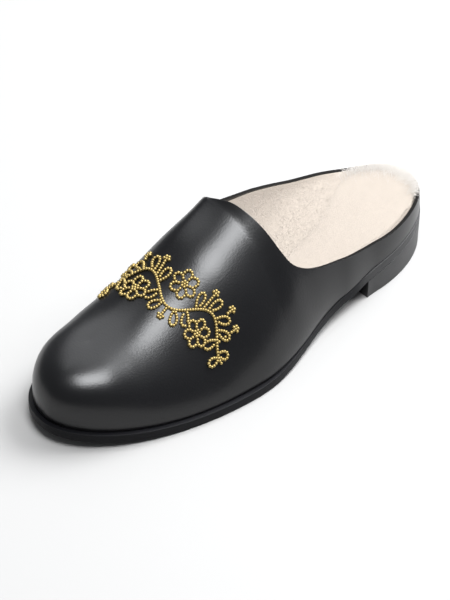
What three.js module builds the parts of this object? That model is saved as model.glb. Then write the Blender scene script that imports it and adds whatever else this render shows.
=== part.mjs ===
import * as THREE from 'three';
import { mergeVertices } from 'three/addons/utils/BufferGeometryUtils.js';

// A left mule with a closed vamp, a low wall round the heel and a fleece footbed, in millimetres.
// X runs from the heel to the toe, +Y is the outer side of the foot, and the floor is Z = 0.

// Driving dimensions
const LENGTH = 260;
const HEEL_HALF_WIDTH = 32.8;
const HEEL_SHIFT = -1.6;
const HEEL_ROUND = 55;
const TOE_TIP_Y = -2.7;
const SEAT_HEIGHT = 17.3;
const SEAT_END = 7;
const TREAD_START = 162.5;
const SPRING_START = 181.5;
const TOE_SPRING = 6.6;
const SOLE_THICKNESS = 5.4;
const WALL = 2;
const GAP = 0.3;
const THROAT_AT = 130.5;
const HEEL_BREAST = 62.5;
const HEEL_TAPER = 0.4;
const CREST_ROUNDING = 6;

// The sole edge stands proud of the upper round the forefoot and is trimmed close behind it
const LEDGE = { rear: 0.5, front: 2.6, rearEnd: 110, frontStart: 165 };

// Ribs run from the sole edge to the crest of the last and fan out at the two ends of the crest
const CREST_REACH = { rear: 45, rearStraight: 90, frontStraight: 140.5, front: 222 };
const CREST_SIDE = { throat: -20, toe: -8.5 };

// Half outline of the sole on each side of the foot
const SIDES = [
  { sign: 1, key: 'outer', waistAt: 81, waist: 33.8, ballAt: 152, ball: 49.5, toePower: 1.86 },
  { sign: -1, key: 'inner', waistAt: 115, waist: 29.8, ballAt: 184.5, ball: 43.5, toePower: 2.3 },
];

// Height of the crest of the last above the floor
const CREST = [
  { at: 0, height: 93 },
  { at: 60, height: 92 },
  { at: 118, height: 85 },
  { at: 130.5, height: 77.2 },
  { at: 156, height: 66.6 },
  { at: 181, height: 53.6 },
  { at: 204, height: 45 },
  { at: 222, height: 41.5 },
];

// Fullness of each side of a section, as a superellipse power, and how far the side bulges
const SECTIONS = [
  { at: 0, outerPower: 2, innerPower: 2, outerBulge: 1, innerBulge: 1 },
  { at: 50, outerPower: 2, innerPower: 2, outerBulge: 1.2, innerBulge: 1.5 },
  { at: 92, outerPower: 1.8, innerPower: 2.1, outerBulge: 2.5, innerBulge: 5.5 },
  { at: 112, outerPower: 1.65, innerPower: 2.1, outerBulge: 2.2, innerBulge: 5.2 },
  { at: 131, outerPower: 1.65, innerPower: 2.1, outerBulge: 1.3, innerBulge: 3.6 },
  { at: 152, outerPower: 1.6, innerPower: 2.2, outerBulge: 1.2, innerBulge: 2.6 },
  { at: 175, outerPower: 1.5, innerPower: 2.2, outerBulge: 0.8, innerBulge: 0.7 },
  { at: 215, outerPower: 1.85, innerPower: 2.65, outerBulge: 0, innerBulge: 0.1 },
  { at: 240, outerPower: 2.45, innerPower: 2.6, outerBulge: 0.3, innerBulge: 2.4 },
  { at: 260, outerPower: 2.7, innerPower: 2.7, outerBulge: 1.2, innerBulge: 1.2 },
];

// Height of the collar edge above the floor on each side, from the heel to the throat
const COLLAR = [
  { at: 0, outer: 33.6, inner: 33.6 },
  { at: 8, outer: 34.4, inner: 32.8 },
  { at: 20, outer: 35, inner: 32.7 },
  { at: 42, outer: 34.4, inner: 36.3 },
  { at: 58, outer: 35.2, inner: 40.2 },
  { at: 74, outer: 37.8, inner: 45.6 },
  { at: 90, outer: 40.8, inner: 51 },
  { at: 103, outer: 44.8, inner: 55 },
  { at: 111, outer: 49.4, inner: 57.4 },
  { at: 115.5, outer: 53.8, inner: 58.7 },
  { at: 118.5, outer: 60.8, inner: 59.9 },
  { at: 122, outer: 73, inner: 61.9 },
  { at: 126, outer: 79, inner: 65 },
  { at: 128, outer: 78.4, inner: 67.5 },
  { at: 130.5, outer: 77.2, inner: 77.2 },
];

// Footbed: thickness along the foot, and the rows of its rounded shoulder from the edge inward
const FOOTBED = [
  { at: 0, thickness: 9.5 },
  { at: 70, thickness: 9 },
  { at: 140, thickness: 7.5 },
  { at: 200, thickness: 6.5 },
  { at: 260, thickness: 5.5 },
];
const FOOTBED_CLEARANCE = 0.9;
const SHOULDER = [
  { inset: 0, rise: 0 },
  { inset: 0.3, rise: 0.45 },
  { inset: 2, rise: 0.82 },
  { inset: 6, rise: 1 },
];

// Fineness of the facets
const REAR_STATIONS = 22;
const FRONT_STATIONS = 22;
const RIB_STEPS = 13;
const SOLE_STATIONS = 52;
const HEEL_STATIONS = 24;
const HALVINGS = 40;
const SAME_POINT = 1e-4;
const NO_AREA = 1e-7;

// Curves

function ease(t) {
  const c = THREE.MathUtils.clamp(t, 0, 1);
  return c * c * (3 - 2 * c);
}

// Smooth curve through the rows of a table that never overshoots between two rows
function rowCurve(rows, column) {
  const x = rows.map((row) => row.at);
  const y = rows.map((row) => row[column]);
  const last = rows.length - 1;
  const rise = x.slice(1).map((_, i) => (y[i + 1] - y[i]) / (x[i + 1] - x[i]));
  const slope = x.map((_, i) => {
    if (i === 0) return rise[0];
    if (i === last) return rise[last - 1];
    if (rise[i - 1] * rise[i] <= 0) return 0;
    return (2 * rise[i - 1] * rise[i]) / (rise[i - 1] + rise[i]);
  });
  return (at) => {
    const c = THREE.MathUtils.clamp(at, x[0], x[last]);
    let i = 0;
    while (i < last - 1 && c > x[i + 1]) i += 1;
    const span = x[i + 1] - x[i];
    const t = (c - x[i]) / span;
    const near = (1 + 2 * t) * (1 - t) ** 2 * y[i] + t * (1 - t) ** 2 * span * slope[i];
    const far = t * t * (3 - 2 * t) * y[i + 1] + t * t * (t - 1) * span * slope[i + 1];
    return near + far;
  };
}

// Cubic from 0 to 1 that starts with the given slope and ends level
function settle(t, startSlope) {
  const c = THREE.MathUtils.clamp(t, 0, 1);
  return startSlope * c + (3 - 2 * startSlope) * c * c + (startSlope - 2) * c * c * c;
}

// Stations close together at both ends of a stretch
function stations(from, to, count) {
  const share = (i) => (1 - Math.cos((Math.PI * i) / count)) / 2;
  return Array.from({ length: count + 1 }, (_, i) => from + (to - from) * share(i));
}

// Sole outline and profile

function halfWidth(side, x) {
  const shift = HEEL_SHIFT * side.sign;
  if (x < HEEL_ROUND) {
    const q = Math.min(1, (HEEL_ROUND - x) / HEEL_ROUND);
    return shift + HEEL_HALF_WIDTH * Math.sqrt(1 - q * q);
  }
  if (x < side.waistAt) {
    const seat = shift + HEEL_HALF_WIDTH;
    return seat + (side.waist - seat) * ease((x - HEEL_ROUND) / (side.waistAt - HEEL_ROUND));
  }
  if (x < side.ballAt) {
    return side.waist + (side.ball - side.waist) * ease((x - side.waistAt) / (side.ballAt - side.waistAt));
  }
  const tip = TOE_TIP_Y * side.sign;
  const q = Math.min(1, (x - side.ballAt) / (LENGTH - side.ballAt));
  return tip + (side.ball - tip) * (1 - q ** side.toePower) ** (1 / side.toePower);
}

function soleBottom(x) {
  const seat = SEAT_HEIGHT * (1 - ease((x - SEAT_END) / (TREAD_START - SEAT_END)));
  const spring = Math.max(0, (x - SPRING_START) / (LENGTH - SPRING_START));
  return seat + TOE_SPRING * spring * spring;
}

function soleTop(x) {
  return soleBottom(x) + SOLE_THICKNESS;
}

function ledge(x) {
  const { rear, front, rearEnd, frontStart } = LEDGE;
  return rear + (front - rear) * ease((x - rearEnd) / (frontStart - rearEnd));
}

// Unit vector in plan that points into the foot, square to the outline at station x
function inward(side, x) {
  if (x <= 0) return new THREE.Vector2(1, 0);
  if (x >= LENGTH) return new THREE.Vector2(-1, 0);
  const step = Math.min(0.01, x / 2, (LENGTH - x) / 2);
  const slope = (halfWidth(side, x + step) - halfWidth(side, x - step)) / (2 * step);
  return new THREE.Vector2(slope, -side.sign).normalize();
}

// Point of the outline at station x, moved into the foot by the inset
function outlinePoint(side, x, inset) {
  const edge = new THREE.Vector2(x, side.sign * halfWidth(side, x));
  return edge.addScaledVector(inward(side, x), inset);
}

// Upper

const crestHeight = rowCurve(CREST, 'height');
const curves = Object.fromEntries(SIDES.map(({ key }) => [key, {
  power: rowCurve(SECTIONS, `${key}Power`),
  bulge: rowCurve(SECTIONS, `${key}Bulge`),
  collar: rowCurve(COLLAR, key),
}]));

// Where the rib of station x meets the crest
function crestPoint(x) {
  const { rear, rearStraight, frontStraight, front } = CREST_REACH;
  let along = x;
  if (x < rearStraight) {
    const reach = rearStraight - rear;
    along = rearStraight - reach * settle((rearStraight - x) / rearStraight, rearStraight / reach);
  }
  if (x > frontStraight) {
    const reach = front - frontStraight;
    const ribs = LENGTH - frontStraight;
    along = frontStraight + reach * settle((x - frontStraight) / ribs, ribs / reach);
  }
  const t = THREE.MathUtils.clamp((along - THROAT_AT) / (front - THROAT_AT), 0, 1);
  const aside = THREE.MathUtils.lerp(CREST_SIDE.throat, CREST_SIDE.toe, t);
  return new THREE.Vector3(along, aside, crestHeight(along));
}

// Foot and crest of the rib at station x, on the outside or the inside of the wall
function ribEnds(side, x, depth) {
  const foot = outlinePoint(side, x, ledge(x) + depth);
  const crest = crestPoint(x);
  crest.z -= depth;
  return { foot: new THREE.Vector3(foot.x, foot.y, soleTop(foot.x) + GAP), crest };
}

// Exponent of the rib's superellipse at a turn: the crest itself is always round
function ribRoot(side, x, turn) {
  const power = curves[side.key].power(x);
  return 2 / (power + (2 - power) * Math.sin(turn) ** CREST_ROUNDING);
}

function ribLift(side, x, turn) {
  return Math.sin(turn) ** ribRoot(side, x, turn);
}

// Turn of the rib, from 0 at its foot to a right angle at the crest, where the collar cuts it
function collarTurn(side, x) {
  let low = 0;
  let high = Math.PI / 2;
  if (x >= THROAT_AT) return high;
  const { foot, crest } = ribEnds(side, x, 0);
  const share = (curves[side.key].collar(x) - foot.z) / (crest.z - foot.z);
  for (let i = 0; i < HALVINGS; i += 1) {
    const middle = (low + high) / 2;
    if (ribLift(side, x, middle) < share) low = middle;
    else high = middle;
  }
  return low;
}

function ribPoint(side, x, depth, turn) {
  const { foot, crest } = ribEnds(side, x, depth);
  const out = new THREE.Vector3(foot.x - crest.x, foot.y - crest.y, 0);
  const spread = Math.max(0, Math.cos(turn)) ** ribRoot(side, x, turn);
  const reach = out.length() * spread + curves[side.key].bulge(x) * Math.sin(2 * turn);
  const point = crest.clone().addScaledVector(out.normalize(), reach);
  point.z = foot.z + (crest.z - foot.z) * ribLift(side, x, turn);
  return point;
}

function ribRow(side, x, depth) {
  const end = collarTurn(side, x);
  return Array.from({ length: RIB_STEPS + 1 }, (_, j) => ribPoint(side, x, depth, (end * j) / RIB_STEPS));
}

// Solids from sheets of points

function addTriangle(list, a, b, c) {
  const area = new THREE.Vector3().subVectors(b, a).cross(new THREE.Vector3().subVectors(c, a)).length();
  if (area > NO_AREA) list.push(a, b, c);
}

// Two triangles for each cell of a grid of points; flip turns their faces over
function addSheet(list, grid, flip) {
  for (let i = 0; i + 1 < grid.length; i += 1) {
    for (let j = 0; j + 1 < grid[i].length; j += 1) {
      const corners = [grid[i][j], grid[i + 1][j], grid[i + 1][j + 1], grid[i][j + 1]];
      const [a, b, c, d] = flip ? corners.reverse() : corners;
      addTriangle(list, a, b, c);
      addTriangle(list, a, c, d);
    }
  }
}

function solid(name, triangles, material) {
  const geometry = mergeVertices(new THREE.BufferGeometry().setFromPoints(triangles), SAME_POINT);
  geometry.computeVertexNormals();
  const mesh = new THREE.Mesh(geometry, material);
  mesh.name = name;
  return mesh;
}

function upper(material) {
  const rear = stations(0, THROAT_AT, REAR_STATIONS);
  const all = [...rear, ...stations(THROAT_AT, LENGTH, FRONT_STATIONS).slice(1)];
  const list = [];
  for (const side of SIDES) {
    const inner = side.sign < 0;
    const outside = all.map((x) => ribRow(side, x, 0));
    const inside = all.map((x) => ribRow(side, x, WALL));
    addSheet(list, outside, !inner);
    addSheet(list, inside, inner);
    addSheet(list, all.map((_, i) => [outside[i][0], inside[i][0]]), inner);
    addSheet(list, rear.map((_, i) => [inside[i].at(-1), outside[i].at(-1)]), inner);
  }
  return solid('upper', list, material);
}

// Sheets of a plate between its low and high edges on the outer and the inner side
function addPlate(list, outer, inner) {
  const strip = (a, b) => a.map((point, i) => [point, b[i]]);
  addSheet(list, strip(outer.low, inner.low), false);
  addSheet(list, strip(outer.high, inner.high), true);
  addSheet(list, strip(outer.low, outer.high), true);
  addSheet(list, strip(inner.low, inner.high), false);
}

function outsole(material) {
  const list = [];
  const along = stations(0, LENGTH, SOLE_STATIONS);
  const point = (side, x, height) => new THREE.Vector3(x, side.sign * halfWidth(side, x), height);
  const [outer, inner] = SIDES.map((side) => ({
    low: along.map((x) => point(side, x, soleBottom(x))),
    high: along.map((x) => point(side, x, soleTop(x))),
  }));
  addPlate(list, outer, inner);
  return solid('outsole', list, material);
}

function heel(material) {
  const list = [];
  const along = stations(0, HEEL_BREAST, HEEL_STATIONS);
  const low = (side, x) => {
    const p = outlinePoint(side, x, HEEL_TAPER);
    return new THREE.Vector3(x === HEEL_BREAST ? x : p.x, p.y, 0);
  };
  const high = (side, x) => new THREE.Vector3(x, side.sign * halfWidth(side, x), soleBottom(x) - GAP);
  const [outer, inner] = SIDES.map((side) => ({
    low: along.map((x) => low(side, x)),
    high: along.map((x) => high(side, x)),
  }));
  addPlate(list, outer, inner);
  const breast = [outer, inner].map((edge) => [edge.low.at(-1), edge.high.at(-1)]);
  addSheet(list, breast, true);
  return solid('heel', list, material);
}

function insole(material) {
  const list = [];
  const along = stations(0, LENGTH, SOLE_STATIONS);
  const thickness = rowCurve(FOOTBED, 'thickness');
  const row = (side, x) => SHOULDER.map(({ inset, rise }) => {
    const p = outlinePoint(side, x, ledge(x) + WALL + FOOTBED_CLEARANCE + inset);
    return new THREE.Vector3(p.x, p.y, soleTop(p.x) + GAP + rise * thickness(p.x));
  });
  const [outer, inner] = SIDES.map((side) => along.map((x) => row(side, x)));
  addSheet(list, outer, true);
  addSheet(list, inner, false);
  addSheet(list, along.map((_, i) => [outer[i][0], inner[i][0]]), false);
  addSheet(list, along.map((_, i) => [outer[i].at(-1), inner[i].at(-1)]), true);
  return solid('insole', list, material);
}

// Materials and assembly, with the origin on the floor under the middle of the shoe

const leather = new THREE.MeshStandardMaterial({ color: 0x1b1b1d, roughness: 0.38, metalness: 0 });
const soleEdge = new THREE.MeshStandardMaterial({ color: 0x202022, roughness: 0.6, metalness: 0 });
const heelStack = new THREE.MeshStandardMaterial({ color: 0x1d1d1f, roughness: 0.5, metalness: 0 });
const fleece = new THREE.MeshStandardMaterial({ color: 0xf0e4d6, roughness: 0.95, metalness: 0 });

const shoe = new THREE.Group();
const [outerSide, innerSide] = SIDES;
shoe.position.set(-LENGTH / 2, (innerSide.ball - outerSide.ball) / 2, 0);
shoe.add(upper(leather), outsole(soleEdge), heel(heelStack), insole(fleece));

export default shoe;
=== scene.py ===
import functools
import math
from collections import namedtuple

import bmesh
import bpy
import numpy as np
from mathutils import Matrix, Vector


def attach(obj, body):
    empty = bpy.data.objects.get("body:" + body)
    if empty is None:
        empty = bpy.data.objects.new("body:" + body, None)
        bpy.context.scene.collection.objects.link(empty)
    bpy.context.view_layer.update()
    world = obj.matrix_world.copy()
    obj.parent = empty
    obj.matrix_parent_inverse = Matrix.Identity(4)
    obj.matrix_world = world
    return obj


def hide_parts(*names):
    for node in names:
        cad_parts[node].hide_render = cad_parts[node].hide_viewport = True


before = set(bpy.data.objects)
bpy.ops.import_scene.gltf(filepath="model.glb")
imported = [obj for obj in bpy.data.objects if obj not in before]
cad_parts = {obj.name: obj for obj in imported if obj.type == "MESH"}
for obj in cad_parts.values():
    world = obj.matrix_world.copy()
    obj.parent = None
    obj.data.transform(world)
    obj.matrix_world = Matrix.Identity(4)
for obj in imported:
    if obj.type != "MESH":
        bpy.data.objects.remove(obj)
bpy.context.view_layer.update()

# A left mule in black leather with a shearling lining and a garland of gold beads on the vamp.
# The last is given in millimetres from the back of the heel, as in the solids, and +Y is the outer side.

MM = 0.001
LENGTH = 260
HEEL_HALF_WIDTH = 32.8
HEEL_SHIFT = -1.6
HEEL_ROUND = 55
TOE_TIP_Y = -2.7
SEAT_HEIGHT = 17.3
SEAT_END = 7
TREAD_START = 162.5
SPRING_START = 181.5
TOE_SPRING = 6.6
SOLE_THICKNESS = 5.4
WALL = 2
GAP = 0.3
THROAT_AT = 130.5
CREST_ROUNDING = 6
QUARTER = math.pi / 2
HALVINGS = 40
OUTLINE_STEP = 0.01
FINE_STATIONS = 400

Ledge = namedtuple("Ledge", "rear front rear_end front_start")
LEDGE = Ledge(rear=0.5, front=2.6, rear_end=110, front_start=165)

Reach = namedtuple("Reach", "rear rear_straight front_straight front")
CREST_REACH = Reach(rear=45, rear_straight=90, front_straight=140.5, front=222)
CREST_SIDE_THROAT = -20
CREST_SIDE_TOE = -8.5

CREST_AT = (0, 60, 118, 130.5, 156, 181, 204, 222)
CREST_HEIGHT = (93, 92, 85, 77.2, 66.6, 53.6, 45, 41.5)
FOOTBED_AT = (0, 70, 140, 200, 260)
FOOTBED_THICKNESS = (9.5, 9, 7.5, 6.5, 5.5)
FOOTBED_CLEARANCE = 0.9

# Each side: sole outline, fullness and bulge of the sections, height of the collar edge
SECTION_AT = (0, 50, 92, 112, 131, 152, 175, 215, 240, 260)
COLLAR_AT = (0, 8, 20, 42, 58, 74, 90, 103, 111, 115.5, 118.5, 122, 126, 128, 130.5)
Side = namedtuple("Side", "sign waist_at waist ball_at ball toe_power power bulge collar")
OUTER = Side(
    sign=1, waist_at=81, waist=33.8, ball_at=152, ball=49.5, toe_power=1.86,
    power=(2, 2, 1.8, 1.65, 1.65, 1.6, 1.5, 1.85, 2.45, 2.7),
    bulge=(1, 1.2, 2.5, 2.2, 1.3, 1.2, 0.8, 0, 0.3, 1.2),
    collar=(33.6, 34.4, 35, 34.4, 35.2, 37.8, 40.8, 44.8, 49.4, 53.8, 60.8, 73, 79, 78.4, 77.2),
)
INNER = Side(
    sign=-1, waist_at=115, waist=29.8, ball_at=184.5, ball=43.5, toe_power=2.3,
    power=(2, 2, 2.1, 2.1, 2.1, 2.2, 2.2, 2.65, 2.6, 2.7),
    bulge=(1, 1.5, 5.5, 5.2, 3.6, 2.6, 0.7, 0.1, 2.4, 1.2),
    collar=(33.6, 32.8, 32.7, 36.3, 40.2, 45.6, 51, 55, 57.4, 58.7, 59.9, 61.9, 65, 67.5, 77.2),
)
SIDES = (OUTER, INNER)
ORIGIN = Vector((LENGTH / 2, (OUTER.ball - INNER.ball) / 2, 0))


# The last

def clamp(value, low, high):
    return max(low, min(high, value))


def ease(t):
    c = clamp(t, 0, 1)
    return c * c * (3 - 2 * c)


def settle(t, start_slope):
    """Cubic from 0 to 1 that starts with the given slope and ends level."""
    c = clamp(t, 0, 1)
    return start_slope * c + (3 - 2 * start_slope) * c**2 + (start_slope - 2) * c**3


def row_curve(at, rows, x):
    """Smooth curve through the rows of a table that never overshoots between two rows."""
    last = len(at) - 1
    rise = [(rows[i + 1] - rows[i]) / (at[i + 1] - at[i]) for i in range(last)]

    def slope(i):
        if i in (0, last):
            return rise[min(i, last - 1)]
        before, after = rise[i - 1], rise[i]
        return 2 * before * after / (before + after) if before * after > 0 else 0

    c = clamp(x, at[0], at[last])
    i = 0
    while i < last - 1 and c > at[i + 1]:
        i += 1
    span = at[i + 1] - at[i]
    t = (c - at[i]) / span
    near = (1 + 2 * t) * (1 - t) ** 2 * rows[i] + t * (1 - t) ** 2 * span * slope(i)
    far = t * t * (3 - 2 * t) * rows[i + 1] + t * t * (t - 1) * span * slope(i + 1)
    return near + far


def half_width(side, x):
    shift = HEEL_SHIFT * side.sign
    if x < HEEL_ROUND:
        q = min(1, (HEEL_ROUND - x) / HEEL_ROUND)
        return shift + HEEL_HALF_WIDTH * math.sqrt(1 - q * q)
    seat = shift + HEEL_HALF_WIDTH
    if x < side.waist_at:
        return seat + (side.waist - seat) * ease((x - HEEL_ROUND) / (side.waist_at - HEEL_ROUND))
    if x < side.ball_at:
        along = (x - side.waist_at) / (side.ball_at - side.waist_at)
        return side.waist + (side.ball - side.waist) * ease(along)
    tip = TOE_TIP_Y * side.sign
    q = min(1, (x - side.ball_at) / (LENGTH - side.ball_at))
    return tip + (side.ball - tip) * (1 - q**side.toe_power) ** (1 / side.toe_power)


def sole_top(x):
    seat = SEAT_HEIGHT * (1 - ease((x - SEAT_END) / (TREAD_START - SEAT_END)))
    spring = max(0, (x - SPRING_START) / (LENGTH - SPRING_START))
    return seat + TOE_SPRING * spring * spring + SOLE_THICKNESS


def footbed_top(x):
    return sole_top(x) + GAP + row_curve(FOOTBED_AT, FOOTBED_THICKNESS, x)


def ledge(x):
    share = ease((x - LEDGE.rear_end) / (LEDGE.front_start - LEDGE.rear_end))
    return LEDGE.rear + (LEDGE.front - LEDGE.rear) * share


def inward(side, x):
    """Unit vector in plan that points into the foot, square to the outline at station x."""
    if x <= 0:
        return Vector((1, 0, 0))
    if x >= LENGTH:
        return Vector((-1, 0, 0))
    step = min(OUTLINE_STEP, x / 2, (LENGTH - x) / 2)
    slope = (half_width(side, x + step) - half_width(side, x - step)) / (2 * step)
    return Vector((slope, -side.sign, 0)).normalized()


def outline_point(side, x, inset):
    """Point of the sole's outline at station x on the floor, moved into the foot by the inset."""
    return Vector((x, side.sign * half_width(side, x), 0)) + inward(side, x) * inset


def crest_point(x):
    """Where the rib of station x meets the crest."""
    reach = CREST_REACH
    along = x
    if x < reach.rear_straight:
        span = reach.rear_straight - reach.rear
        start = reach.rear_straight / span
        along = reach.rear_straight - span * settle((reach.rear_straight - x) / reach.rear_straight, start)
    if x > reach.front_straight:
        span = reach.front - reach.front_straight
        ribs = LENGTH - reach.front_straight
        along = reach.front_straight + span * settle((x - reach.front_straight) / ribs, ribs / span)
    t = clamp((along - THROAT_AT) / (reach.front - THROAT_AT), 0, 1)
    aside = CREST_SIDE_THROAT + (CREST_SIDE_TOE - CREST_SIDE_THROAT) * t
    return Vector((along, aside, row_curve(CREST_AT, CREST_HEIGHT, along)))


Rib = namedtuple("Rib", "foot crest out reach power bulge")


@functools.lru_cache(maxsize=None)
def rib(side, x, depth):
    """The rib of station x, which runs from the sole edge to the crest at a depth in the wall."""
    foot = outline_point(side, x, ledge(x) + depth)
    foot.z = sole_top(foot.x) + GAP
    crest = crest_point(x) - Vector((0, 0, depth))
    out = Vector((foot.x - crest.x, foot.y - crest.y, 0))
    power = row_curve(SECTION_AT, side.power, x)
    bulge = row_curve(SECTION_AT, side.bulge, x)
    return Rib(foot, crest, out.normalized(), out.length, power, bulge)


def rib_root(power, turn):
    """Exponent of the rib's superellipse at a turn: the crest itself is always round."""
    return 2 / (power + (2 - power) * math.sin(turn) ** CREST_ROUNDING)


def turn_at_height(side, x, height):
    """Turn of the rib, from 0 at its foot to a right angle at the crest, at a height above the floor."""
    r = rib(side, x, 0)
    share = (height - r.foot.z) / (r.crest.z - r.foot.z)
    low, high = 0, QUARTER
    for _ in range(HALVINGS):
        middle = (low + high) / 2
        if math.sin(middle) ** rib_root(r.power, middle) < share:
            low = middle
        else:
            high = middle
    return low


@functools.lru_cache(maxsize=None)
def top_turn(side, x):
    """Where the rib ends: at the collar behind the throat and at the crest in front of it."""
    if x >= THROAT_AT:
        return QUARTER
    return turn_at_height(side, x, row_curve(COLLAR_AT, side.collar, x))


def wall_point(side, x, depth, turn):
    """A point of the upper's wall in millimetres from the back of the heel."""
    r = rib(side, x, depth)
    root = rib_root(r.power, turn)
    spread = r.reach * max(0, math.cos(turn)) ** root + r.bulge * math.sin(2 * turn)
    point = r.crest + r.out * spread
    point.z = r.foot.z + (r.crest.z - r.foot.z) * math.sin(turn) ** root
    return point


def placed(point):
    """From the last's millimetres to the frame's metres."""
    return (point - ORIGIN) * MM


def even_stations(start, end, count):
    """Stations that share the lengths of the sole edge and the top line evenly, the same on both sides."""
    fine = start + (end - start) * (1 - np.cos(np.linspace(0, math.pi, FINE_STATIONS))) / 2
    run = np.zeros(len(fine))
    for side in SIDES:
        for turn_of in (lambda s, x: 0, top_turn):
            line = np.array([wall_point(side, x, 0, turn_of(side, x)) for x in fine])
            run[1:] += np.linalg.norm(np.diff(line, axis=0), axis=1)
    return np.interp(np.linspace(0, run.cumsum()[-1], count + 1), run.cumsum(), fine).tolist()


# Pieces from meshes

# Points of a copied solid, or of a draped grid, that are one point
SAME_IN_SOLID = 2e-6
SAME_IN_GRID = 2e-5


def piece(name, bm, material, replaced):
    """A shown piece that rides on the shoe, with smooth shading."""
    mesh = bpy.data.meshes.new(name)
    bm.to_mesh(mesh)
    bm.free()
    return dress(bpy.data.objects.new(name, mesh), material, replaced)


def dress(obj, material, replaced):
    """What every piece has: smooth shading, a material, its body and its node."""
    obj.data.shade_smooth()
    obj.data.materials.append(material)
    bpy.context.scene.collection.objects.link(obj)
    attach(obj, "root")
    if replaced:
        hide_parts(replaced)
    return obj


def solid_copy(node):
    """The merged skin of a solid, with its triangles joined into quads."""
    bm = bmesh.new()
    bm.from_mesh(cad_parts[node].data)
    bmesh.ops.remove_doubles(bm, verts=bm.verts, dist=SAME_IN_SOLID)
    bmesh.ops.join_triangles(
        bm, faces=bm.faces, angle_face_threshold=math.radians(50),
        angle_shape_threshold=math.radians(90), topology_influence=2.0,
    )
    return bm


def draped_grid(bm, columns, rows, place):
    """A grid whose points are moved to place(column, row)."""
    made = bmesh.ops.create_grid(bm, x_segments=columns, y_segments=rows, size=0.5)
    for v in made["verts"]:
        v.co = place(round((v.co.x + 0.5) * columns), round((v.co.y + 0.5) * rows))


def joined_copies(name, points, faces):
    """One mesh of many copies of a shape made of triangles, with the points of every copy."""
    count, per, _ = points.shape
    corners = (np.array(faces)[None] + per * np.arange(count)[:, None, None]).reshape(-1)
    mesh = bpy.data.meshes.new(name)
    mesh.vertices.add(count * per)
    mesh.vertices.foreach_set("co", points.reshape(-1))
    mesh.loops.add(len(corners))
    mesh.loops.foreach_set("vertex_index", corners)
    mesh.polygons.add(len(corners) // 3)
    mesh.polygons.foreach_set("loop_start", np.arange(0, len(corners), 3))
    mesh.update(calc_edges=True)
    mesh.validate()
    mesh.shade_smooth()
    return mesh


def round_edges(obj, width, segments, levels, angle=50):
    """Rounds the sharp edges and smooths the facets."""
    bevel = obj.modifiers.new("rounded_edges", "BEVEL")
    bevel.width = width
    bevel.segments = segments
    bevel.limit_method = "ANGLE"
    bevel.angle_limit = math.radians(angle)
    smooth = obj.modifiers.new("smooth_skin", "SUBSURF")
    smooth.levels = levels
    smooth.render_levels = levels


def thicken(obj, thickness):
    """Gives a skin its wall, towards the foot, with the second material on the cut edges."""
    wall = obj.modifiers.new("wall", "SOLIDIFY")
    wall.thickness = thickness
    wall.offset = -1
    wall.use_even_offset = True
    wall.material_offset_rim = 1


# Materials

def material(name, **constants):
    """A material with a Principled shader whose plain sockets are set by name."""
    made = bpy.data.materials.new(name)
    made.use_nodes = True
    shader = made.node_tree.nodes["Principled BSDF"]
    for socket, value in constants.items():
        shader.inputs[socket.replace("_", " ")].default_value = value
    return made, made.node_tree, shader


def node(tree, kind, **settings):
    made = tree.nodes.new(kind)
    for key, value in settings.items():
        setattr(made, key, value)
    return made


def grain_group():
    """Fine pores and a slow unevenness: a height for bump and a roughness around a middle value."""
    group = bpy.data.node_groups.new("fine_grain", "ShaderNodeTree")
    sockets = (
        ("Vector", "INPUT", "NodeSocketVector"),
        ("Scale", "INPUT", "NodeSocketFloat"),
        ("Middle", "INPUT", "NodeSocketFloat"),
        ("Spread", "INPUT", "NodeSocketFloat"),
        ("Height", "OUTPUT", "NodeSocketFloat"),
        ("Roughness", "OUTPUT", "NodeSocketFloat"),
    )
    for label, way, kind in sockets:
        group.interface.new_socket(label, in_out=way, socket_type=kind)
    start = node(group, "NodeGroupInput")
    end = node(group, "NodeGroupOutput")
    pores = node(group, "ShaderNodeTexVoronoi", feature="SMOOTH_F1")
    pores.inputs["Smoothness"].default_value = 0.6
    slow = node(group, "ShaderNodeTexNoise")
    slow.inputs["Scale"].default_value = 60
    slow.inputs["Detail"].default_value = 3
    patches = node(group, "ShaderNodeMapRange")
    low = node(group, "ShaderNodeMath", operation="SUBTRACT")
    high = node(group, "ShaderNodeMath", operation="ADD")
    link = group.links.new
    link(start.outputs["Vector"], pores.inputs["Vector"])
    link(start.outputs["Scale"], pores.inputs["Scale"])
    link(start.outputs["Vector"], slow.inputs["Vector"])
    for way in (low, high):
        link(start.outputs["Middle"], way.inputs[0])
        link(start.outputs["Spread"], way.inputs[1])
    link(slow.outputs["Fac"], patches.inputs["Value"])
    link(low.outputs[0], patches.inputs["To Min"])
    link(high.outputs[0], patches.inputs["To Max"])
    link(pores.outputs["Distance"], end.inputs["Height"])
    link(patches.outputs["Result"], end.inputs["Roughness"])
    return group


GRAIN = grain_group()
BUMP_STRENGTH = 0.35


def grained(name, colour, roughness, spread, scale, bump_depth, **constants):
    """Dyed leather or painted edge: one colour, a fine grain and an uneven roughness."""
    made, tree, shader = material(name, Base_Color=(*colour, 1), **constants)
    place = node(tree, "ShaderNodeTexCoord")
    grain = node(tree, "ShaderNodeGroup", node_tree=GRAIN)
    grain.inputs["Scale"].default_value = scale
    grain.inputs["Middle"].default_value = roughness
    grain.inputs["Spread"].default_value = spread
    bump = node(tree, "ShaderNodeBump")
    bump.inputs["Strength"].default_value = BUMP_STRENGTH
    bump.inputs["Distance"].default_value = bump_depth
    link = tree.links.new
    link(place.outputs["Object"], grain.inputs["Vector"])
    link(grain.outputs["Roughness"], shader.inputs["Roughness"])
    link(grain.outputs["Height"], bump.inputs["Height"])
    link(bump.outputs["Normal"], shader.inputs["Normal"])
    return made


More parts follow.
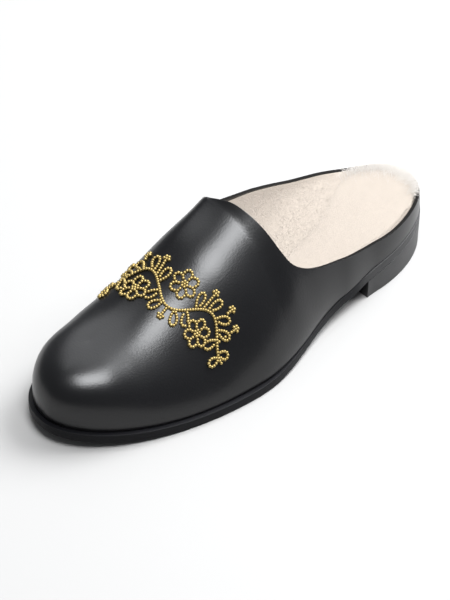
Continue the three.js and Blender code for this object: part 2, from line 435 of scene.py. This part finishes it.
def two_tone(tree, shader, factor, first, second):
    """Blends the base colour from the first colour to the second."""
    shade = node(tree, "ShaderNodeMix", data_type="RGBA")
    shade.inputs["A"].default_value = first
    shade.inputs["B"].default_value = second
    tree.links.new(factor, shade.inputs["Factor"])
    tree.links.new(shade.outputs["Result"], shader.inputs["Base Color"])


# Where the sole's edge takes on the heel's finish, along X
RearFinish = namedtuple("RearFinish", "front rear")
REAR_FINISH = RearFinish(front=-0.055, rear=-0.075)


def finish_rear(made, colour, shine):
    """Gives the rear of a sole the heel's colour and shine."""
    tree = made.node_tree
    shader = tree.nodes["Principled BSDF"]
    place = node(tree, "ShaderNodeTexCoord")
    axes = node(tree, "ShaderNodeSeparateXYZ")
    rear = node(tree, "ShaderNodeMapRange", interpolation_type="SMOOTHSTEP")
    rear.inputs["From Min"].default_value = REAR_FINISH.front
    rear.inputs["From Max"].default_value = REAR_FINISH.rear
    gloss = node(tree, "ShaderNodeMix", data_type="FLOAT")
    gloss.inputs["A"].default_value = shader.inputs["Specular IOR Level"].default_value
    gloss.inputs["B"].default_value = shine
    link = tree.links.new
    link(place.outputs["Object"], axes.inputs["Vector"])
    link(axes.outputs["X"], rear.inputs["Value"])
    link(rear.outputs["Result"], gloss.inputs["Factor"])
    link(gloss.outputs["Result"], shader.inputs["Specular IOR Level"])
    front_colour = tuple(shader.inputs["Base Color"].default_value)
    two_tone(tree, shader, rear.outputs["Result"], front_colour, (*colour, 1))


WOOL = (0.335, 0.293, 0.253, 1)
# Colour of the strand tips: painted paler, a painted glow for the light that shines through thin fluff.
GLOW_PAINTED_WOOL = (0.60, 0.59, 0.57, 1)
DEEP_GOLD = (0.25, 0.175, 0.05, 1)
PALE_GOLD = (0.42, 0.335, 0.15, 1)


def fleece_material():
    """Cream wool whose long strands are painted paler towards their tips, a painted glow for the light that
    shines through thin fluff.
    """
    made, tree, shader = material("cream_fleece", Roughness=0.95, Specular_IOR_Level=0.1)
    tip = node(tree, "ShaderNodeAttribute", attribute_name="tip")
    two_tone(tree, shader, tip.outputs["Fac"], WOOL, GLOW_PAINTED_WOOL)
    return made


def bead_material():
    """Pale gold metal, a little uneven from bead to bead."""
    made, tree, shader = material("gold_beads", Metallic=1, Roughness=0.55)
    place = node(tree, "ShaderNodeTexCoord")
    uneven = node(tree, "ShaderNodeTexNoise")
    uneven.inputs["Scale"].default_value = 700
    tree.links.new(place.outputs["Object"], uneven.inputs["Vector"])
    two_tone(tree, shader, uneven.outputs["Fac"], DEEP_GOLD, PALE_GOLD)
    return made


HEEL_COLOUR = (0.015, 0.015, 0.016)
LEATHER = grained(
    "black_leather", (0.0022, 0.0022, 0.0027), roughness=0.29, spread=0.03, scale=1100, bump_depth=0.00008,
    IOR=1.47,
)
CUT_EDGE = grained(
    "black_cut_edge", (0.004, 0.0034, 0.003), roughness=0.7, spread=0.05, scale=1100, bump_depth=0.00008,
    Specular_IOR_Level=0.1,
)
SOLE_EDGE = grained(
    "black_sole_edge", (0.004, 0.004, 0.005), roughness=0.5, spread=0.08, scale=700, bump_depth=0.00012,
    Specular_IOR_Level=0.12,
)
HEEL_STACK = grained(
    "black_heel_stack", HEEL_COLOUR, roughness=0.45, spread=0.08, scale=700, bump_depth=0.00012,
)
finish_rear(SOLE_EDGE, HEEL_COLOUR, shine=0.5)
FLEECE = fleece_material()
BEADS = bead_material()


# Upper

REAR_STATIONS = 84
FRONT_STATIONS = 66
RIB_ROWS = 20
WALL_STATIONS = even_stations(0, THROAT_AT, REAR_STATIONS)
WALL_STATIONS += even_stations(THROAT_AT, LENGTH, FRONT_STATIONS)[1:]


def upper_skin():
    """Both sides of the upper's outside, closed along the crest, with the faces outwards."""
    bm = bmesh.new()
    for side in SIDES:
        def place(column, row, side=side):
            x = WALL_STATIONS[column]
            return placed(wall_point(side, x, 0, top_turn(side, x) * row / RIB_ROWS))

        draped_grid(bm, len(WALL_STATIONS) - 1, RIB_ROWS, place)
    bmesh.ops.remove_doubles(bm, verts=bm.verts, dist=SAME_IN_GRID)
    bmesh.ops.recalc_face_normals(bm, faces=bm.faces)
    crown = max(bm.faces, key=lambda f: f.calc_center_median().z)
    if crown.normal.z < 0:
        bmesh.ops.reverse_faces(bm, faces=bm.faces)
    return bm


def make_upper():
    upper = piece("leather_upper", upper_skin(), LEATHER, "upper")
    upper.data.materials.append(CUT_EDGE)
    thicken(upper, WALL * MM)
    round_edges(upper, width=0.0004, segments=2, levels=1)


# Sole and heel

def make_outsole():
    sole = piece("outsole_plate", solid_copy("outsole"), SOLE_EDGE, "outsole")
    round_edges(sole, width=0.0003, segments=2, levels=2)


def make_heel():
    heel = piece("heel_block", solid_copy("heel"), HEEL_STACK, "heel")
    round_edges(heel, width=0.0002, segments=2, levels=2)


# Shearling

# Rounded shoulder of the footbed: how far in from its edge and what share of its thickness
Shoulder = namedtuple("Shoulder", "inset rise")
SHOULDER = (Shoulder(0, 0), Shoulder(0.15, 0.7), Shoulder(0.5, 0.93), Shoulder(1.2, 0.985), Shoulder(3, 1))
FOOTBED_STATIONS = 90
FOOTBED_ACROSS = 10
HEEL_PUFF = 1.2
HEEL_PUFF_END = 30


def footbed_edge(x):
    """Distance of the footbed's edge from the sole's outline."""
    return ledge(x) + WALL + FOOTBED_CLEARANCE


def fleece_top(x):
    """Height of the footbed's fleece, which puffs up to the edge of the heel."""
    return footbed_top(x) + HEEL_PUFF * (1 - ease(x / HEEL_PUFF_END))


def shoulder_point(side, x, row):
    point = outline_point(side, x, footbed_edge(x) + row.inset)
    low = sole_top(point.x) + GAP
    point.z = low + row.rise * (fleece_top(point.x) - low)
    return point


def make_footbed():
    """Fleece pad that fills the shoe up to its wall, with soft shoulders."""
    turns = [math.pi * i / FOOTBED_STATIONS for i in range(FOOTBED_STATIONS + 1)]
    stations = [LENGTH * (1 - math.cos(turn)) / 2 for turn in turns]
    rows = len(SHOULDER) - 1

    def top(column, row):
        x = stations[column]
        if row <= rows:
            return placed(shoulder_point(OUTER, x, SHOULDER[row]))
        if row >= rows + FOOTBED_ACROSS:
            return placed(shoulder_point(INNER, x, SHOULDER[2 * rows + FOOTBED_ACROSS - row]))
        ends = [shoulder_point(side, x, SHOULDER[-1]) for side in SIDES]
        return placed(ends[0].lerp(ends[1], (row - rows) / FOOTBED_ACROSS))

    def base(column, row):
        ends = [shoulder_point(side, stations[column], SHOULDER[0]) for side in SIDES]
        return placed(ends[0].lerp(ends[1], row / FOOTBED_ACROSS))

    bm = bmesh.new()
    draped_grid(bm, FOOTBED_STATIONS, 2 * rows + FOOTBED_ACROSS, top)
    draped_grid(bm, FOOTBED_STATIONS, FOOTBED_ACROSS, base)
    bmesh.ops.remove_doubles(bm, verts=bm.verts, dist=SAME_IN_GRID)
    bmesh.ops.recalc_face_normals(bm, faces=bm.faces)
    footbed = piece("fleece_footbed", bm, FLEECE, "insole")
    round_edges(footbed, width=0.0003, segments=1, levels=1, angle=70)
    return footbed


LINING_START = 20
LINING_REAR = 60
LINING_FRONT = 44
LINING_DEPTH = WALL + GAP
LINING_SINK = 2.5
LINING_TOP = 3.5
LINING_SEAT = 0.3
LINING_THINNING = 5
LEAST_TURN = 0.02
# How far the fleece reaches in from the wall at the footbed, on the outer and the inner side
LINING_AT = (20, 50, 70, 260)
LINING_OUTER = (0, 5, 7, 7)
LINING_INNER = (0, 22, 27, 27)
# Stations between which the hollow of the opening turns into an even pad in the vamp
Blend = namedtuple("Blend", "start end")
LINING_BLEND = Blend(start=95, end=140)


def lining_inside(side, x, share, low, high):
    """Inner face of the lining: a hollow curve from footbed to collar, and an even pad in the vamp."""
    t = (share * RIB_ROWS - 1) / (RIB_ROWS - 1)
    corner = wall_point(side, x, LINING_DEPTH + LINING_TOP, low)
    reach = LINING_OUTER if side is OUTER else LINING_INNER
    base = corner + inward(side, x) * row_curve(LINING_AT, reach, x)
    for point in (corner, base):
        point.z = fleece_top(point.x) - LINING_SEAT
    top = wall_point(side, x, LINING_DEPTH, high)
    hollow = base * (1 - t) ** 2 + corner * 2 * t * (1 - t) + top * t * t
    thickness = LINING_TOP * math.sqrt(1 - share**LINING_THINNING)
    pad = wall_point(side, x, LINING_DEPTH + thickness, low + (high - low) * share)
    return hollow.lerp(pad, ease((x - LINING_BLEND.start) / (LINING_BLEND.end - LINING_BLEND.start)))


def make_lining():
    """Fleece on the inside of the wall, from the footbed to the collar."""
    stations = [LINING_START + (THROAT_AT - LINING_START) * i / LINING_REAR for i in range(LINING_REAR)]
    stations += even_stations(THROAT_AT, LENGTH, LINING_FRONT)
    bm = bmesh.new()
    for side in SIDES:
        def place(column, row, side=side):
            x = stations[column]
            high = top_turn(side, x)
            low = min(turn_at_height(side, x, footbed_top(x) - LINING_SINK), high - LEAST_TURN)
            share = min(row, 2 * RIB_ROWS - row) / RIB_ROWS
            if row > RIB_ROWS and share > 0:
                return placed(lining_inside(side, x, share, low, high))
            return placed(wall_point(side, x, LINING_DEPTH, low + (high - low) * share))

        draped_grid(bm, len(stations) - 1, 2 * RIB_ROWS, place)
    bmesh.ops.remove_doubles(bm, verts=bm.verts, dist=SAME_IN_GRID)
    bmesh.ops.holes_fill(bm, edges=[e for e in bm.edges if e.is_boundary], sides=0)
    bmesh.ops.recalc_face_normals(bm, faces=bm.faces)
    lining = piece("fleece_lining", bm, FLEECE, None)
    round_edges(lining, width=0.0006, segments=2, levels=1)
    return lining


def shown_triangles(obj):
    """Corner points and corner normals of an object's finished mesh."""
    done = obj.evaluated_get(bpy.context.evaluated_depsgraph_get())
    mesh = done.to_mesh()
    mesh.calc_loop_triangles()
    points = np.empty(len(mesh.vertices) * 3)
    normals = np.empty(len(mesh.vertices) * 3)
    corners = np.empty(len(mesh.loop_triangles) * 3, dtype=np.int32)
    mesh.vertices.foreach_get("co", points)
    mesh.vertices.foreach_get("normal", normals)
    mesh.loop_triangles.foreach_get("vertices", corners)
    done.to_mesh_clear()
    corners = corners.reshape(-1, 3)
    return points.reshape(-1, 3)[corners], normals.reshape(-1, 3)[corners]


def unit(vectors):
    return vectors / np.maximum(np.linalg.norm(vectors, axis=-1, keepdims=True), 1e-12)


# Strands, in metres, with their rings as shares of their length and of their root's width.
# Short nap has one ring and is straight. Long fluff has two and bends.
# The share by which a strand's tip is painted paler is a painted glow for the light that shines through
# thin wool.
Nap = namedtuple("Nap", "length spread radius lean pale rings")
PILE = Nap(length=0.0011, spread=(0.6, 1.15), radius=0.00012, lean=1.5, pale=0.1, rings=((0.0, 1.0),))
FLUFF = Nap(
    length=0.0038, spread=(0.35, 1.4), radius=0.00006, lean=1.6, pale=0.8, rings=((0.0, 1.0), (0.5, 0.8)),
)
STRAND_SIDES = 3
COMB_STRAY = 0.8
LEAN_SPREAD = (0.6, 1.2)
LEAN_DROP = 0.35
ROOT_SINK = 1.5
WOOL_SOFTNESS = np.array((0, 0, 1.3))


def scattered(host, rng, count, density):
    """Random places on a piece and their outward directions."""
    points, normals = shown_triangles(host)
    area = np.linalg.norm(np.cross(points[:, 1] - points[:, 0], points[:, 2] - points[:, 0]), axis=1)
    weight = area * density(points.mean(axis=1), unit(normals.mean(axis=1)))
    chosen = rng.choice(len(area), size=count, p=weight / weight.sum())
    share = rng.dirichlet((1, 1, 1), size=count)[:, :, None]
    return (points[chosen] * share).sum(axis=1), unit((normals[chosen] * share).sum(axis=1))


def strands(name, rng, root, up, nap, comb):
    """A piece of tapered strands that are combed one way and stray from it."""
    count = len(root)
    flat = unit(rng.normal(0, 1, (count, 3))) * COMB_STRAY + comb
    flat = unit(flat - up * (flat * up).sum(axis=1, keepdims=True))
    reach = nap.length * rng.uniform(*nap.spread, (count, 1))
    bend = nap.lean * rng.uniform(*LEAN_SPREAD, (count, 1))
    side = np.cross(flat, up)
    start = root - up * nap.radius * ROOT_SINK

    def along(t):
        return start + reach * (up * t * (1 - LEAN_DROP * bend * t) + flat * bend * t * t)

    corners = []
    tips = []
    for t, width in nap.rings:
        for k in range(STRAND_SIDES):
            angle = 2 * math.pi * k / STRAND_SIDES
            offset = (side * math.cos(angle) + flat * math.sin(angle)) * nap.radius * width
            corners.append(along(t) + offset)
            tips.append(nap.pale * t)
    corners.append(along(1.0))
    tips.append(nap.pale)
    join_strands(name, np.stack(corners, axis=1), up, tips, len(nap.rings))


def join_strands(name, points, up, tips, rings):
    """All the strands in one, closed at the root and pointed at the tip.

    They shade like the skin below, turned a little upwards because wool passes light on.
    """
    count, per, _ = points.shape
    n = STRAND_SIDES
    faces = [(0, 2, 1)]
    for ring in range(rings - 1):
        for k in range(n):
            a, b = ring * n + k, ring * n + (k + 1) % n
            faces += [(a, b, b + n), (a, b + n, a + n)]
    last = (rings - 1) * n
    faces += [(last + k, last + (k + 1) % n, per - 1) for k in range(n)]
    mesh = joined_copies(name, points, faces)
    # Each point's tip value is its share of the painted glow, which grows towards the strand's tip.
    tip = mesh.attributes.new("tip", "FLOAT", "POINT")
    tip.data.foreach_set("value", np.tile(np.array(tips), count))
    mesh.normals_split_custom_set_from_vertices(np.repeat(unit(up + WOOL_SOFTNESS), per, axis=0))
    dress(bpy.data.objects.new(name, mesh), FLEECE, None)


# Fluff over the heel's edge: its least, likeliest and greatest turn round the heel, and how far in it grows
FLUFF_TURNS = (math.radians(-40), math.radians(5), math.radians(72))
FLUFF_DEPTH = 1.6
FLUFF_SINK = 0.2


def heel_edge(rng, count):
    """Places near the edge of the heel seat, thinning out along both sides, and the ways out from there."""
    turns = rng.triangular(*FLUFF_TURNS, count)
    insets = rng.exponential(FLUFF_DEPTH, count)
    roots = []
    ways = []
    for turn, inset in zip(turns, insets):
        side = INNER if turn > 0 else OUTER
        x = HEEL_ROUND * (1 - math.cos(turn))
        point = outline_point(side, x, footbed_edge(x) + inset)
        point.z = fleece_top(point.x) - FLUFF_SINK
        roots.append(placed(point))
        ways.append(-inward(side, x))
    return np.array(roots), np.array(ways)


WOOL_SEED = 11
FOOTBED_STRANDS = 36000
LINING_STRANDS = 45000
FLUFF_STRANDS = 5000
NAP_PAST_THROAT = 6
NAP_END = (THROAT_AT - LENGTH / 2 + NAP_PAST_THROAT) * MM
NAP_FACING = 0.3
MIDDLE = np.array((0, -4 * MM, 20 * MM))
ABOVE_MIDDLE = MIDDLE + (0, 0, 40 * MM)
TO_HEEL = np.array((-1.0, 0, 0))
UPWARDS = (0.0, 0.0, 1.0)


def on_footbed(centre, normal):
    """Where the footbed has nap: on its top, as far as the opening shows it."""
    return np.where((normal[:, 2] > NAP_FACING) & (centre[:, 0] < NAP_END), 1.0, 0.0)


def on_lining(centre, normal):
    """Where the lining has nap: on the faces towards the foot, as far as the opening shows them."""
    faces_in = (normal * (ABOVE_MIDDLE - centre))[:, 1:].sum(axis=1) > 0
    return np.where(faces_in & (centre[:, 0] < NAP_END), 1.0, 0.0)


def make_fleece(footbed, lining):
    """Nap over the footbed and the lining, and fluff over the heel's edge."""
    rng = np.random.default_rng(WOOL_SEED)
    for name in ("footbed_pile", "footbed_pile_second"):
        root, up = scattered(footbed, rng, FOOTBED_STRANDS, on_footbed)
        strands(name, rng, root, up, PILE, TO_HEEL)
    root, up = scattered(lining, rng, LINING_STRANDS, on_lining)
    strands("lining_pile", rng, root, up, PILE, unit((MIDDLE - root) * (0, 1, 1)))
    root, out = heel_edge(rng, FLUFF_STRANDS)
    strands("heel_fluff", rng, root, np.tile(UPWARDS, (len(root), 1)), FLUFF, out)


# Bead garland on the vamp, laid out in millimetres across it and towards the toe

BEAD_RADIUS = 0.95
BEAD_STEP = 1.5
BEAD_APART = 1.2
BEAD_SHOWN = 0.6
RING_BEADS = 6
GARLAND_AT = 51
GARLAND_ASIDE = 20
GARLAND_SLANT = -0.24
STEM_HALF = 43
STEM_WAVE = 6.5
LEAF_WIDTH = 5
# Shares of a blossom's size, and the turn of its first petal as a share of the turn between petals
Petal = namedtuple("Petal", "middle half_length half_width turn")
PETAL = Petal(middle=0.66, half_length=0.34, half_width=0.30, turn=0.25)
# Fineness of the lines that the beads are set out on
CREST_SAMPLES = 200
RIB_SAMPLES = 60
STEM_SAMPLES = 200
LEAF_SAMPLES = 60
PETAL_SAMPLES = 40
LOWEST_TURN = 0.2
PROBE = 0.5


def runs_along(line):
    """Distance of each point of a line from its start."""
    return np.concatenate(([0], np.linalg.norm(np.diff(line, axis=0), axis=1).cumsum()))


@functools.lru_cache(maxsize=None)
def crest_runs():
    """Stations in front of the throat and how far along the crest their ribs meet it."""
    fine = np.linspace(THROAT_AT, LENGTH, CREST_SAMPLES)
    return fine, runs_along(np.array([crest_point(x) for x in fine]))


def vamp_point(along, aside):
    """Point of the vamp at a distance along the crest and a distance down its outer or inner side."""
    side = OUTER if aside >= 0 else INNER
    fine, crest = crest_runs()
    x = float(np.interp(along, crest, fine))
    turns = np.linspace(QUARTER, LOWEST_TURN, RIB_SAMPLES)
    down = runs_along(np.array([wall_point(side, x, 0, t) for t in turns]))
    return wall_point(side, x, 0, float(np.interp(abs(aside), down, turns)))


def on_vamp(across, forward):
    """Place and outward direction of the vamp at a point of the garland's own plane."""
    along = GARLAND_AT + forward + GARLAND_SLANT * across
    aside = GARLAND_ASIDE + across
    point = vamp_point(along, aside)
    ahead = vamp_point(along + PROBE, aside) - point
    beside = vamp_point(along, aside + PROBE) - point
    return point, ahead.cross(beside).normalized()


def bead_line(points):
    """Points a bead apart along a line."""
    line = np.array(points)
    runs = runs_along(line)
    count = max(1, round(runs[-1] / BEAD_STEP))
    at = np.linspace(0, runs[-1], count + 1)
    return list(zip(np.interp(at, runs, line[:, 0]), np.interp(at, runs, line[:, 1])))


def turned(points, angle, start):
    c, s = math.cos(angle), math.sin(angle)
    return [(start[0] + c * p - s * q, start[1] + s * p + c * q) for p, q in points]


def leaf(start, angle, length):
    """Outline of a pointed leaf that grows from its start."""
    turns = np.linspace(0, 2 * math.pi, LEAF_SAMPLES)
    half = LEAF_WIDTH / 2
    outline = [(length * (1 - math.cos(t)) / 2, half * math.sin(t) * math.sin(t / 2)) for t in turns]
    return bead_line(turned(outline, angle, start))[1:-1]


def ring(centre, radius, count):
    turns = [2 * math.pi * k / count for k in range(count)]
    return [(centre[0] + radius * math.cos(t), centre[1] + radius * math.sin(t)) for t in turns]


def blossom(centre, petals, size):
    """Round petals about a middle of seven beads."""
    beads = [centre] + ring(centre, BEAD_STEP, RING_BEADS)
    turns = np.linspace(0, 2 * math.pi, PETAL_SAMPLES)
    along = [size * (PETAL.middle - PETAL.half_length * math.cos(t)) for t in turns]
    aside = [size * PETAL.half_width * math.sin(t) for t in turns]
    outline = list(zip(along, aside))
    for k in range(petals):
        beads += bead_line(turned(outline, 2 * math.pi * (k + PETAL.turn) / petals, centre))[:-1]
    return beads


def bud(foot, centre):
    """A ring of beads on a short stalk."""
    return bead_line([foot, centre]) + ring(centre, BEAD_STEP, RING_BEADS)


def stem_point(across):
    return across, STEM_WAVE * math.cos(2 * math.pi * across / STEM_HALF)


# Leaves and buds of one half of the garland, which are mirrored on the other half, and all the blossoms
Leaf = namedtuple("Leaf", "across angle length")
LEAVES = (
    Leaf(4, 1.0, 8), Leaf(9, 1.0, 8), Leaf(13, -1.75, 9), Leaf(19, -1.2, 9), Leaf(25, -0.6, 9),
    Leaf(29.5, -0.25, 9), Leaf(33, 2.0, 8), Leaf(38, -0.5, 6.5), Leaf(40, 1.9, 6.5),
)
Bud = namedtuple("Bud", "across aside forward")
BUDS = (Bud(0, 0, 12), Bud(16, 16.8, -15), Bud(27, 29.5, -15.5), Bud(34, 38, -10.5))
Blossom = namedtuple("Blossom", "across forward petals size")
BLOSSOMS = (Blossom(-21.5, 6, 6, 7.2), Blossom(0, -8, 6, 7.6), Blossom(21.5, 6, 6, 7.2))


def mirrored(beads):
    return beads + [(-across, forward) for across, forward in beads]


def spaced(beads):
    """The beads without those that would sit inside an earlier one."""
    kept = []
    for bead in beads:
        if all(math.dist(bead, other) > BEAD_APART for other in kept):
            kept.append(bead)
    return kept


def garland():
    """Places of the beads: a waved stem across the vamp with blossoms, leaves and buds."""
    beads = bead_line([stem_point(a) for a in np.linspace(-STEM_HALF, STEM_HALF, STEM_SAMPLES)])
    for row in BLOSSOMS:
        beads += blossom((row.across, row.forward), row.petals, row.size)
    for row in LEAVES:
        beads += mirrored(leaf(stem_point(row.across), row.angle, row.length))
    for row in BUDS:
        beads += mirrored(bud(stem_point(row.across), (row.aside, row.forward)))
    return spaced(beads)


def bead_shape():
    """Points and triangles of one round bead."""
    bm = bmesh.new()
    bmesh.ops.create_uvsphere(bm, u_segments=8, v_segments=5, radius=BEAD_RADIUS * MM)
    bmesh.ops.triangulate(bm, faces=bm.faces)
    bm.verts.index_update()
    points = np.array([v.co for v in bm.verts])
    faces = [[v.index for v in f.verts] for f in bm.faces]
    bm.free()
    return points, faces


def make_beadwork():
    shape, faces = bead_shape()
    beads = []
    for across, forward in garland():
        point, out = on_vamp(across, forward)
        turn = np.array(out.to_track_quat("Z", "Y").to_matrix())
        beads.append(shape @ turn.T + np.array(placed(point + out * BEAD_RADIUS * BEAD_SHOWN)))
    mesh = joined_copies("bead_garland", np.array(beads), faces)
    dress(bpy.data.objects.new("bead_garland", mesh), BEADS, None)


# Studio

FLOOR_HALF = 4
PAPER = (0.345, 0.34, 0.334, 1)
ROOM_COLOUR = (0.92, 0.95, 1, 1)
ROOM_STRENGTH = 0.27
LIGHT_DISTANCE = 1.4
LIGHT_COLOUR = (0.965, 0.98, 1)
# Turn about the shoe and rise above the floor in degrees, size in metres, power in watts
Softbox = namedtuple("Softbox", "name turn rise size power")
SOFTBOXES = (
    Softbox("key_softbox", 65, 74, 0.6, 22),
    Softbox("rear_softbox", 168, 48, 0.9, 41),
    Softbox("fill_softbox", -138, 50, 1.6, 17.5),
)


def studio():
    """A pale floor under three softboxes in an evenly lit room."""
    bm = bmesh.new()
    bmesh.ops.create_grid(bm, x_segments=1, y_segments=1, size=FLOOR_HALF)
    floor = bpy.data.objects.new("floor", bpy.data.meshes.new("floor"))
    bm.to_mesh(floor.data)
    bm.free()
    paper, _, _ = material("white_paper", Base_Color=PAPER, Roughness=0.9, Specular_IOR_Level=0.1)
    floor.data.materials.append(paper)
    bpy.context.scene.collection.objects.link(floor)
    world = bpy.data.worlds.new("room")
    bpy.context.scene.world = world
    world.use_nodes = True
    room = world.node_tree.nodes["Background"]
    room.inputs["Color"].default_value = ROOM_COLOUR
    room.inputs["Strength"].default_value = ROOM_STRENGTH
    for row in SOFTBOXES:
        softbox(row)
    bpy.context.scene.view_settings.view_transform = "Standard"


def from_angles(turn, rise, distance):
    """A place round the shoe at a turn about Z and a rise above the floor, in degrees."""
    t, r = math.radians(turn), math.radians(rise)
    return Vector((math.cos(t) * math.cos(r), math.sin(t) * math.cos(r), math.sin(r))) * distance


def softbox(row):
    lamp = bpy.data.lights.new(row.name, "AREA")
    lamp.size = row.size
    lamp.energy = row.power
    lamp.color = LIGHT_COLOUR
    box = bpy.data.objects.new(row.name, lamp)
    box.location = from_angles(row.turn, row.rise, LIGHT_DISTANCE)
    box.rotation_mode = "QUATERNION"
    box.rotation_quaternion = (-box.location).to_track_quat("-Z", "Y")
    bpy.context.scene.collection.objects.link(box)


VIEW_TURN = 47.88
VIEW_RISE = 42.38
VIEW_DISTANCE = 1.5
VIEW_CENTRE = Vector((0.0, -0.003, 0.020))
VIEW_AIM = Vector((0.004, -0.007, 0.018))
VIEW_LENS = 170
VIEW_SENSOR = 36


def camera():
    lens = bpy.data.cameras.new("camera")
    lens.lens = VIEW_LENS
    lens.sensor_width = VIEW_SENSOR
    eye = bpy.data.objects.new("camera", lens)
    eye.location = VIEW_CENTRE + from_angles(VIEW_TURN, VIEW_RISE, VIEW_DISTANCE)
    eye.rotation_mode = "QUATERNION"
    eye.rotation_quaternion = (VIEW_AIM - eye.location).to_track_quat("-Z", "Y")
    bpy.context.scene.collection.objects.link(eye)
    bpy.context.scene.camera = eye


make_upper()
make_outsole()
make_heel()
make_fleece(make_footbed(), make_lining())
make_beadwork()
studio()
camera()
